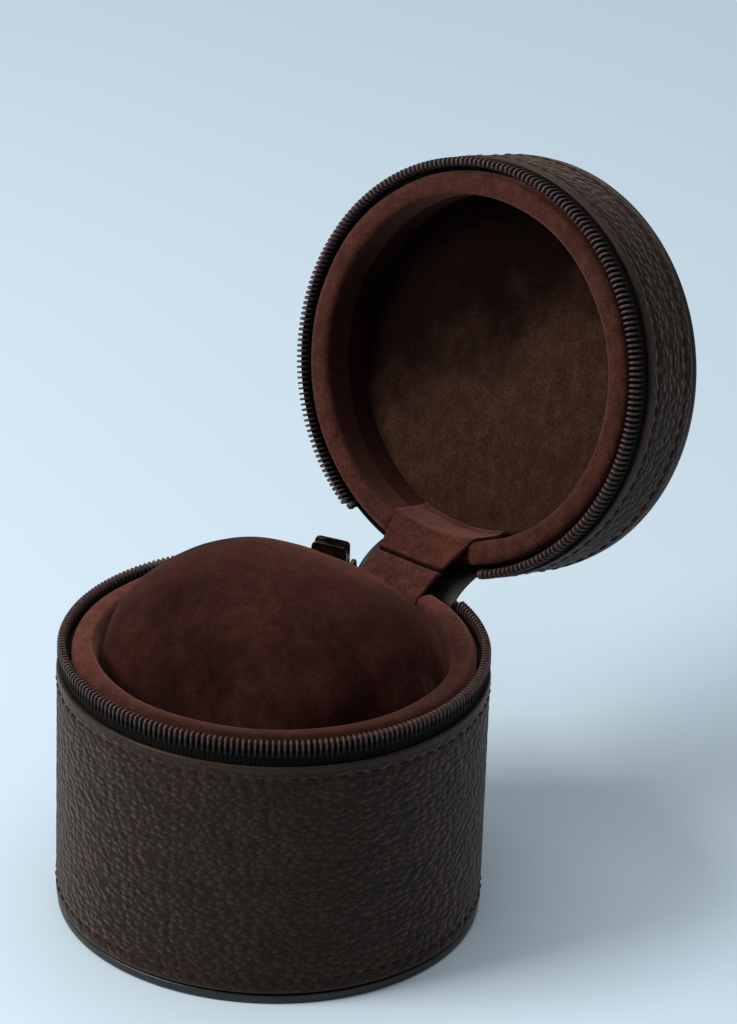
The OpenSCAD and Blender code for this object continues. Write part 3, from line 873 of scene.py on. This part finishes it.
def leather_disc(name, body, depth, crown, stands_for):
    """End disc: a face of pebbled leather with a painted edge that steps in to the seam."""
    way = TOWARDS[body]
    corner, thick, tab = 0.7 * MM, 2.1 * MM, 0.45 * MM
    seam_r = DISC_R - 0.8 * MM
    flat_r = DISC_R - corner
    cells = 2 * round(flat_r / (1.2 * sizes().row))
    grid = bpy.ops.mesh.primitive_grid_add
    piece = add_piece(name, grid, x_subdivisions=cells, y_subdivisions=cells, size=2)
    places = points_of(piece)
    u, v = places[:, 0].copy(), places[:, 1].copy()
    places[:, 0] = flat_r * u * np.sqrt(1 - v * v / 2)
    places[:, 1] = flat_r * v * np.sqrt(1 - u * u / 2)
    reach = (places[:, 0] ** 2 + places[:, 1] ** 2) / flat_r**2
    places[:, 2] = RIM + way * (depth - crown * reach)
    place_points(piece, places)
    edge = arc((flat_r, depth - crown - corner), corner, 75, 0, 5)
    edge += arc((DISC_R - corner / 2, depth - thick + corner / 2), corner / 2, 0, -90, 3)
    edge += [(seam_r, depth - thick), (seam_r, depth - thick - tab)]
    with editing(piece):
        bpy.ops.mesh.select_mode(type="EDGE")
        bpy.ops.mesh.select_all(action="DESELECT")
        bpy.ops.mesh.select_non_manifold()
        radius, height = flat_r, depth - crown
        for next_r, next_depth in edge:
            step = (0, 0, way * (next_depth - height))
            grow = next_r / radius
            bpy.ops.mesh.extrude_region_move(TRANSFORM_OT_translate={"value": step})
            bpy.ops.transform.resize(value=(grow, grow, 1), center_override=(0, 0, 0))
            radius, height = next_r, next_depth
        bpy.ops.mesh.edge_face_add()
        bpy.ops.mesh.select_mode(type="VERT")
        weld()
    for kind in ("leather", "edge"):
        piece.data.materials.append(material_of(kind))
    face_limit = RIM + way * (depth - crown - 0.1 * MM)
    for face in piece.data.polygons:
        face.material_index = 0 if way * (face.center.z - face_limit) > 0 else 1
    places = points_of(piece)
    inside = np.clip((flat_r - 0.2 * MM - np.hypot(places[:, 0], places[:, 1])) / MM, 0, 1)
    mark_pebbled(piece, inside * (way * points_of(piece, "normal")[:, 2] > 0.5))
    dress(piece, body, "leather", stands_for, crisp=50)
    raise_grain(piece)


class CASE_OT_end_discs(bpy.types.Operator):
    """Closes both ends with leather discs that have painted edges"""

    bl_idname = "travel_case.end_discs"
    bl_label = "End Discs"

    def execute(self, context):
        leather_disc("base_end_disc", "base", BASE_H, 0.0, ["base_disc"])
        leather_disc("lid_end_disc", "lid", LID_H, sizes().crown, ["lid_disc"])
        return {"FINISHED"}


# Suede


def soft_collar(name, body, strap_w, kind, stands_for):
    """Padded collar: a roll of suede over foam, pressed in under the hinge strap."""
    inner, outer = 1.75 * MM, 2.1 * MM
    hem = 6.1 * MM
    foot = COLLAR_DEPTH
    full_r = COLLAR_R + 0.45 * MM
    outline = (
        [(LINING_R + 0.02 * MM, foot), (LINING_R, foot - 0.3 * MM)]
        + [(LINING_R, depth) for depth in rows(foot - 0.3 * MM, inner, 1.1 * MM)]
        + arc((LINING_R + inner, inner), inner, 180, 262, 7)
        + arc((full_r - outer, outer), outer, 272, 350, 8)
        + [(full_r, outer + 0.6 * MM), (full_r - 0.1 * MM, outer + 1.4 * MM), (COLLAR_R, hem)]
        + [(COLLAR_R - 0.5 * MM, hem), (COLLAR_R - 1.2 * MM, foot - MM), (LINING_R + MM, foot)]
    )
    piece = turned(name, body, [(r, SINK + depth) for r, depth in outline], 300)
    undulate(piece, 0.16 * MM, 13 * MM, TOWARDS[body])
    half = math.asin((strap_w + 0.6 * MM) / 2 / (LINING_R + 2.5 * MM))
    fade = math.radians(1.3)
    places = points_of(piece)
    for place in places:
        off = abs(math.atan2(place[0], place[1]))
        if off < half:
            depth = TOWARDS[body] * (place[2] - RIM)
            pressed = smooth((half - off) / fade) * max(0.0, 1 - depth / foot)
            place[2] += TOWARDS[body] * sizes().channel * pressed
    place_points(piece, places)
    dress(piece, body, kind, stands_for, crisp=70)


class CASE_OT_collars(bpy.types.Operator):
    """Makes the padded suede collar of each half"""

    bl_idname = "travel_case.collars"
    bl_label = "Collars"

    def execute(self, context):
        soft_collar("base_soft_collar", "base", sizes().strap_w, "base_collar", ["base_collar"])
        soft_collar("lid_soft_collar", "lid", sizes().strap_flare, "lid_collar", ["lid_collar"])
        return {"FINISHED"}


def wall_suede(name, body, end, kind, stands_for):
    """Suede on the wall of the cup or the recess, a thin sleeve with faint waves."""
    top = COLLAR_DEPTH + SINK + 0.05 * MM
    back = LINING_R + 0.42 * MM
    outline = [(LINING_R, depth) for depth in [top] + rows(top, end, 1.2 * MM) + [end]]
    outline += [(back, end), (back, top)]
    piece = turned(name, body, outline, 240)
    undulate(piece, 0.1 * MM, 9 * MM, 5)
    dress(piece, body, kind, stands_for, crisp=50)


def padded_panel(name, body, crown_depth, back, crown, kind, slot, stands_for):
    """Crowned suede panel over foam, tucked in all round its edge."""
    radius = LINING_R - 0.08 * MM
    tuck = 1.5 * MM
    flat_r = radius - tuck
    edge_depth = crown_depth + crown * (flat_r / radius) ** 2
    shares = [i / 36 for i in range(36)]
    outline = (
        [(flat_r * t, crown_depth + (edge_depth - crown_depth) * t**2) for t in shares]
        + [(flat_r, edge_depth)]
        + arc((flat_r, edge_depth + tuck), tuck, -75, 0, 6)
        + [(radius, back), (0, back)]
    )
    piece = turned(name, body, outline, 240)
    undulate(piece, 0.28 * MM, 16 * MM, 9)
    dress(piece, body, kind, stands_for, crisp=50)


class CASE_OT_linings(bpy.types.Operator):
    """Lines the cup and the recess of the lid with suede"""

    bl_idname = "travel_case.linings"
    bl_label = "Linings"

    def execute(self, context):
        wall_suede("cup_wall_suede", "base", CUP_DEPTH, "suede", ["cup_lining"])
        wall_suede("recess_wall_suede", "lid", ROOF_BACK, "recess", ["recess_lining"])
        floor = (FLOOR_DEPTH, FLOOR_BACK, 0.6 * MM)
        roof = (ROOF_DEPTH, ROOF_BACK, 2.0 * MM)
        padded_panel("cup_floor_panel", "base", *floor, "suede", "suede", ["cup_floor", "cup_pad"])
        padded_panel("roof_panel", "lid", *roof, "roof", "suede_roof", ["roof_lining", "roof_pad"])
        return {"FINISHED"}


# Zip


def refined_copy(name, node, body, kind, bevel):
    """A copy of a CAD node with its facets welded and its edges broken."""
    source = frame["nodes"][node]
    bpy.ops.object.select_all(action="DESELECT")
    piece = source.copy()
    piece.data = source.data.copy()
    piece.parent = None
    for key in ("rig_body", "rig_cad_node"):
        del piece[key]
    piece.name = name
    piece.data.name = name
    bpy.context.scene.collection.objects.link(piece)
    piece.data.materials.clear()
    with editing(piece):
        bpy.ops.mesh.customdata_custom_splitnormals_clear()
        bpy.ops.mesh.remove_doubles(threshold=WELD)
        flat, any_shape = math.radians(1), math.radians(120)
        bpy.ops.mesh.tris_convert_to_quads(face_threshold=flat, shape_threshold=any_shape)
    if bevel:
        angle_limit = math.radians(35)
        apply_modifier(piece, "BEVEL", width=bevel, segments=1, limit_method="ANGLE", angle_limit=angle_limit)
    dress(piece, body, kind, [node], crisp=35, in_place=True)
    return piece


def unroll(piece, body):
    """Gives a piece a UV map of its unrolled surface, where 1 is a millimetre."""
    layer = piece.data.uv_layers.new(name="Weave")
    places = shut_places(piece, body)
    for loop in piece.data.loops:
        x, y, z = places[loop.vertex_index]
        layer.data[loop.index].uv = (math.atan2(x, -y) * TAPE_R / MM, (z - RIM) / MM)


class CASE_OT_zip(bpy.types.Operator):
    """Finishes the tapes, teeth and stops of the zip"""

    bl_idname = "travel_case.zip"
    bl_label = "Zip"

    def execute(self, context):
        for body in ("base", "lid"):
            tape = refined_copy(f"{body}_woven_tape", f"zip_tape_{body}", body, "tape", 0)
            unroll(tape, body)
            for part, bevel in (("teeth", 0.09 * MM), ("stops", 0.15 * MM)):
                refined_copy(f"{body}_zip_{part}", f"zip_{part}_{body}", body, "lacquer", bevel)
            self.bead(body)
        return {"FINISHED"}

    def bead(self, body):
        """The thick edge of the tape that the teeth clamp, between the first tooth and the last."""
        places = shut_places(frame["nodes"][f"zip_teeth_{body}"], body)
        turns = [(math.atan2(p.y, p.x) - REAR) % FULL_TURN for p in places]
        first, last = min(turns), max(turns)
        middle = (TAPE_R + TAPE_IN_R) / 2
        thick, under = 0.52 * MM, 1.14 * MM
        ring = arc((middle, under), thick, 0, 330, 11)
        outline = [(middle + 0.8 * (r - middle), depth) for r, depth in ring]
        piece = turned(f"{body}_tape_bead", body, outline, 300, REAR + first, last - first)
        dress(piece, body, "tape", crisp=50)
        unroll(piece, body)


class CASE_OT_slider(bpy.types.Operator):
    """Finishes the slider, its bridge, the link and the pull tab"""

    bl_idname = "travel_case.slider"
    bl_label = "Slider and Pull"

    def execute(self, context):
        for node in ("slider_body", "slider_bridge", "pull_link", "pull_tab"):
            body = node.split("_")[0]
            refined_copy(f"polished_{node}", node, body, "metal", 0.12 * MM)
        return {"FINISHED"}


# Hinge


def ribbon(name, line, half_width, columns):
    """A flat band along (y, z) points, each with its share in the lid, that follows both round walls."""
    grid = bpy.ops.mesh.primitive_grid_add
    piece = add_piece(name, grid, x_subdivisions=columns, y_subdivisions=len(line) - 1, size=1)
    turn = OPENED.to_3x3()
    places = points_of(piece)
    for k in range(len(places)):
        row, column = divmod(k, columns + 1)
        y, z, lid_share = line[row]
        x = half_width[row] * (2 * column / columns - 1)
        drop = Vector((0, math.sqrt(LINING_R**2 - x * x) - LINING_R, 0))
        places[k] = Vector((x, y, z)) + drop * (1 - lid_share) + (turn @ drop) * lid_share
    place_points(piece, places)
    return piece


def opened(y, depth):
    """Place in the open lid of a point that lies at y and the given depth when shut."""
    place = OPENED @ Vector((0, y, RIM + depth))
    return place.y, place.z


def creased(start, end, depth):
    """Points from start to end as (share of the way, place), with a V-shaped crease in the middle."""
    along = Vector(end) - Vector(start)
    across = Vector((-along.y, along.x)).normalized()
    half = 0.8 * MM / along.length
    step = 0.05
    shares = rows(0, 0.5 - half, step)
    shares += [0.5 + half * i / 3 for i in range(-3, 4)] + rows(0.5 + half, 1, step)
    drop = [depth * max(0.0, 1 - abs(t - 0.5) / half) for t in shares]
    return [(t, Vector(start) + along * t - across * d) for t, d in zip(shares, drop)]


class CASE_OT_hinge(bpy.types.Operator):
    """Makes the inner suede strap and the outer leather band of the hinge"""

    bl_idname = "travel_case.hinge"
    bl_label = "Hinge Strap and Band"

    def execute(self, context):
        self.inner_strap()
        self.outer_band()
        return {"FINISHED"}

    def inner_strap(self):
        size = sizes()
        wall = LINING_R - size.strap_t / 2 - 0.06 * MM
        centre = LINING_R + 1.75 * MM
        radius = centre - wall
        bend_depth = SINK + size.channel + 1.6 * MM
        low, high = 12 * MM, 13.4 * MM
        bend = arc((centre, bend_depth), radius, 180, 242, 8)
        lifted, lift_from, lift_over = 0.6 * MM, high - 2.4 * MM, 1.6 * MM
        base_line = [(wall, RIM - depth) for depth in rows(bend_depth, low, 0.9 * MM)[::-1]]
        base_line += [(r, RIM - depth) for r, depth in bend]
        lid_line = [opened(r, depth) for r, depth in bend[::-1]]
        for depth in rows(bend_depth, high, 0.7 * MM):
            lid_line.append(opened(wall - lifted * smooth((depth - lift_from) / lift_over), depth))
        across = creased(base_line[-1], lid_line[0], size.strap_crease)
        line = [(y, z, 0.0) for y, z in base_line]
        line += [(p[0], p[1], smooth(t)) for t, p in across]
        line += [(y, z, 1.0) for y, z in lid_line]
        slim, wide = size.strap_w / 2 - 0.3 * MM, size.strap_flare / 2 - 0.3 * MM
        flare_from, flare_rows = len(base_line) + len(across) // 2, 18
        widths = [slim + (wide - slim) * smooth((i - flare_from) / flare_rows) for i in range(len(line))]
        piece = ribbon("inner_suede_strap", line, widths, 20)
        undulate(piece, 0.15 * MM, 7 * MM, 3)
        apply_modifier(piece, "SOLIDIFY", thickness=size.strap_t, offset=0)
        apply_modifier(piece, "BEVEL", width=0.2 * MM, segments=2, limit_method="ANGLE")
        self.join(piece, "strap", "suede", "hinge_strap", base_line[-1], lid_line[0])

    def outer_band(self):
        middle = (TAPE_R + TAPE_IN_R) / 2
        spread = math.radians(17) * TAPE_R
        sewn, handle, bends = 8 * MM, 4 * MM, 24
        start = (middle, RIM - BAND)
        end = opened(middle, BAND)
        leaving = Vector(opened(middle, BAND)) - Vector(opened(middle, BAND - handle))
        controls = [Vector(start), Vector(start) + Vector((0, handle)), Vector(end) - leaving, Vector(end)]
        line = [(middle, RIM - BAND - sewn + depth, 0.0) for depth in rows(0, sewn, MM)]
        for t in (i / bends for i in range(bends + 1)):
            weights = ((1 - t) ** 3, 3 * t * (1 - t) ** 2, 3 * t * t * (1 - t), t**3)
            y, z = sum((c * w for c, w in zip(controls, weights)), Vector((0, 0)))
            line.append((y, z, smooth(t)))
        line += [(*opened(middle, BAND + depth), 1.0) for depth in rows(0, sewn, MM)]
        piece = ribbon("outer_hinge_band", line, [spread] * len(line), 30)
        apply_modifier(piece, "SOLIDIFY", thickness=0.5 * MM, offset=0)
        apply_modifier(piece, "BEVEL", width=0.12 * MM, segments=2, limit_method="ANGLE")
        self.join(piece, "hinge", "hinge_leather", "hinge_band", start, end)

    def join(self, piece, kind, slot, nodes, start, end):
        """Finishes a band that bends between the base and the lid."""
        with editing(piece):
            bpy.ops.mesh.normals_make_consistent(inside=False)
        dress(piece, None, kind, [f"{nodes}_base", f"{nodes}_lid"], crisp=60, in_place=True)
        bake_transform(piece, "base", "lid", start=(0, *start), end=(0, *end))


# Pillow


def power(value, exponent):
    """A power that keeps the sign of its value."""
    return math.copysign(abs(value) ** exponent, value)


def roll_point(direction, slack):
    """Point of the stuffed roll that a point of a unit ball goes to: blunt ends and squarish sides."""
    half = (PILLOW_HIGH - PILLOW_LOW) / 2 - Vector((slack, slack, slack))
    tiny, square = 1e-6, 0.8
    along, dy, dz = direction
    across = math.hypot(dy, dz)
    x = half.x * power(along, 0.9)
    rise = max(0.0, 1 - abs(x / half.x) ** 2.5) ** 0.4
    cup = max(tiny, half.x**2 - x**2)
    width = (half.y**-8 + cup**-4) ** (-1 / 8)
    turn_y, turn_z = (dy / across, dz / across) if across > tiny else (0, 0)
    return x, width * power(turn_y, square), half.z * rise * power(turn_z, square)


class CASE_OT_pillow(bpy.types.Operator):
    """Stuffs the suede pillow by cloth simulation and sews its end seams"""

    bl_idname = "travel_case.pillow"
    bl_label = "Pillow"

    enlarged = 10

    def execute(self, context):
        half = (PILLOW_HIGH - PILLOW_LOW) / 2
        seam_x = half.x - sizes().seam_place
        slack = 0.8 * MM
        ball = bpy.ops.mesh.primitive_uv_sphere_add
        piece = add_piece("suede_pillow", ball, segments=96, ring_count=64, rotation=(0, REAR, 0))
        bpy.ops.object.transform_apply(location=False, rotation=True, scale=False)
        start = np.array([roll_point(p, slack) for p in points_of(piece)])
        place_points(piece, start * self.enlarged)
        apply_modifier(piece, "REMESH", mode="VOXEL", voxel_size=1.5 * MM * self.enlarged)
        self.stuff(piece, seam_x * self.enlarged, slack * self.enlarged)
        apply_modifier(piece, "SUBSURF", levels=1, render_levels=1)
        self.sew(piece, seam_x, half)
        dress(piece, "pillow", "pillow", ["pillow_cover", "pillow_core"], crisp=80)
        return {"FINISHED"}

    def stuff(self, piece, seam_x, cap):
        """Lets pressure swell the roll between its seams, but no point further than cap."""
        rest = points_of(piece)
        beside = 0.8 * MM * self.enlarged
        seams = piece.vertex_groups.new(name="seams")
        near_seam = [i for i, p in enumerate(rest) if abs(abs(p[0]) - seam_x) < beside]
        seams.add(near_seam, 1.0, "REPLACE")
        cloth = piece.modifiers.new("Cloth", "CLOTH")
        for name, value in {
            "quality": 5,
            "mass": 0.3,
            "use_pressure": True,
            "uniform_pressure_force": 4,
            "tension_stiffness": 12,
            "compression_stiffness": 12,
            "bending_stiffness": 0.6,
            "shrink_min": -0.03,
            "vertex_group_mass": "seams",
        }.items():
            setattr(cloth.settings, name, value)
        cloth.settings.effector_weights.gravity = 0
        for number in range(1, 21):
            bpy.context.scene.frame_set(number)
        pick(piece)
        bpy.ops.object.modifier_apply(modifier=cloth.name)
        bpy.context.scene.frame_set(1)
        moved = points_of(piece) - rest
        far = np.maximum(np.linalg.norm(moved, axis=1), 1e-9)
        place_points(piece, rest + moved * np.minimum(1, cap / far)[:, None])

    def sew(self, piece, seam_x, half):
        """Draws in the end seams, puckers the suede beside them and keeps the pillow in its space."""
        places, normals = points_of(piece) / self.enlarged, points_of(piece, "normal")
        for i, (x, y, z) in enumerate(places):
            side = abs(x) - seam_x
            around = math.atan2(z, y)
            pucker = 0.5 + 0.5 * math.sin(around * 46 + 2.5 * math.sin(around * 5))
            groove = 0.22 * MM * dip(side, 0.5 * MM)
            puckered = 0.05 * MM * dip(side, 2.0 * MM) * pucker
            soft = 0.22 * MM * noise.noise(Vector((x, y, z)) / (9 * MM))
            places[i] += normals[i] * (soft - groove - puckered)
        limit = np.array(half) - 0.05 * MM
        places *= np.minimum(1, limit / np.abs(places).max(0))
        place_points(piece, places + np.array((PILLOW_HIGH + PILLOW_LOW) / 2))


# Inner parts


class CASE_OT_inner_parts(bpy.types.Operator):
    """Gives the board and foam inside the walls their finishes"""

    bl_idname = "travel_case.inner_parts"
    bl_label = "Inner Parts"

    def execute(self, context):
        for node, piece in frame["nodes"].items():
            if piece.hide_render:
                continue
            kind = "foam" if "foam" in node or "pad" in node else "board"
            piece.data.materials.clear()
            piece.data.materials.append(material_of(kind))
        return {"FINISHED"}


# Stage


def view_axes(stage):
    """Right, up and back of the camera."""
    a, e, r = stage.azimuth, stage.elevation, stage.roll
    back = Vector((math.sin(a) * math.cos(e), -math.cos(a) * math.cos(e), math.sin(e)))
    right = Vector((math.cos(a), math.sin(a), 0))
    up = back.cross(right)
    return (
        right * math.cos(r) + up * math.sin(r),
        up * math.cos(r) - right * math.sin(r),
        back,
    )


def add_lamp(name, place, aim, width, power, hex_code):
    """A square soft lamp that faces a point."""
    data = bpy.data.lights.new(name, "AREA")
    data.size = width
    data.energy = power
    data.color = linear(hex_code)[:3]
    lamp = bpy.data.objects.new(name, data)
    bpy.context.scene.collection.objects.link(lamp)
    lamp.location = place
    lamp.rotation_euler = (Vector(aim) - Vector(place)).to_track_quat("-Z", "Y").to_euler()


class CASE_OT_stage(bpy.types.Operator):
    """Sets up the camera, the lamps and the pale floor"""

    bl_idname = "travel_case.stage"
    bl_label = "Stage"

    def execute(self, context):
        stage = context.scene.case_stage
        right, up, back = view_axes(stage)
        target = Vector(stage.target)
        camera = bpy.data.objects.new("camera", bpy.data.cameras.new("camera"))
        context.scene.collection.objects.link(camera)
        turn = Matrix((right, up, back)).transposed().to_4x4()
        camera.matrix_world = Matrix.Translation(target + back * stage.distance) @ turn
        camera.data.lens = stage.lens
        camera.data.clip_start = 0.05
        context.scene.camera = camera
        context.scene.view_settings.view_transform = "Standard"
        self.lamps(stage, target, right, back)
        self.floor()
        self.sky(stage)
        return {"FINISHED"}

    def lamps(self, stage, target, right, back):
        front = Vector((back.x, back.y, 0)).normalized()
        place = target - right * 0.72 + front * 0.2 + Vector((0, 0, 0.6))
        add_lamp("key_lamp", place, target, 0.42, stage.key_power, "#fffaf4")
        over = target - front * 0.3 + Vector((0, 0, 1.2))
        add_lamp("top_lamp", over, target - front * 0.3, 1.6, stage.top_power, "#ffffff")

    def floor(self):
        floor = add_piece("floor", bpy.ops.mesh.primitive_plane_add, size=12)
        floor.data.materials.append(material_of("paper"))

    def sky(self, stage):
        """Even light from all sides, behind which the camera sees the colour of the floor."""
        world = bpy.data.worlds.new("studio")
        world.use_nodes = True
        bpy.context.scene.world = world
        tree = world.node_tree
        light = tree.nodes["Background"]
        feed(tree, light, {"Color": linear("#f8fbff"), "Strength": stage.sky_power})
        paper = add_node(tree, "Background", {"Color": colours().floor})
        seen = add_node(tree, "LightPath", out="Is Camera Ray")
        sky = add_node(tree, "MixShader", seen, light.outputs[0], paper)
        feed(tree, tree.nodes["World Output"], {"Surface": sky})


STEPS = (
    CASE_OT_stage,
    CASE_OT_leather_walls,
    CASE_OT_stitches,
    CASE_OT_end_discs,
    CASE_OT_collars,
    CASE_OT_linings,
    CASE_OT_zip,
    CASE_OT_slider,
    CASE_OT_hinge,
    CASE_OT_pillow,
    CASE_OT_inner_parts,
)


class CASE_PT_panel(bpy.types.Panel):
    """Lists the steps and the sizes of the case"""

    bl_label = "Travel Case"
    bl_idname = "CASE_PT_panel"
    bl_space_type = "VIEW_3D"
    bl_region_type = "UI"
    bl_category = "Travel Case"

    def draw(self, context):
        for step in STEPS:
            self.layout.operator(step.bl_idname)
        for group in GROUPS:
            box = self.layout.box()
            for name in GROUPS[group].__annotations__:
                box.prop(getattr(context.scene, group), name)


CLASSES = (*GROUPS.values(), *STEPS, CASE_PT_panel)


def register():
    for cls in CLASSES:
        bpy.utils.register_class(cls)
    for name, group in GROUPS.items():
        setattr(bpy.types.Scene, name, bpy.props.PointerProperty(type=group))


def unregister():
    for name in GROUPS:
        delattr(bpy.types.Scene, name)
    for cls in reversed(CLASSES):
        bpy.utils.unregister_class(cls)


def main():
    register()
    for step in STEPS:
        group, name = step.bl_idname.split(".")
        getattr(getattr(bpy.ops, group), name)()
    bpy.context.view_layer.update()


if __name__ == "__main__":
    main()
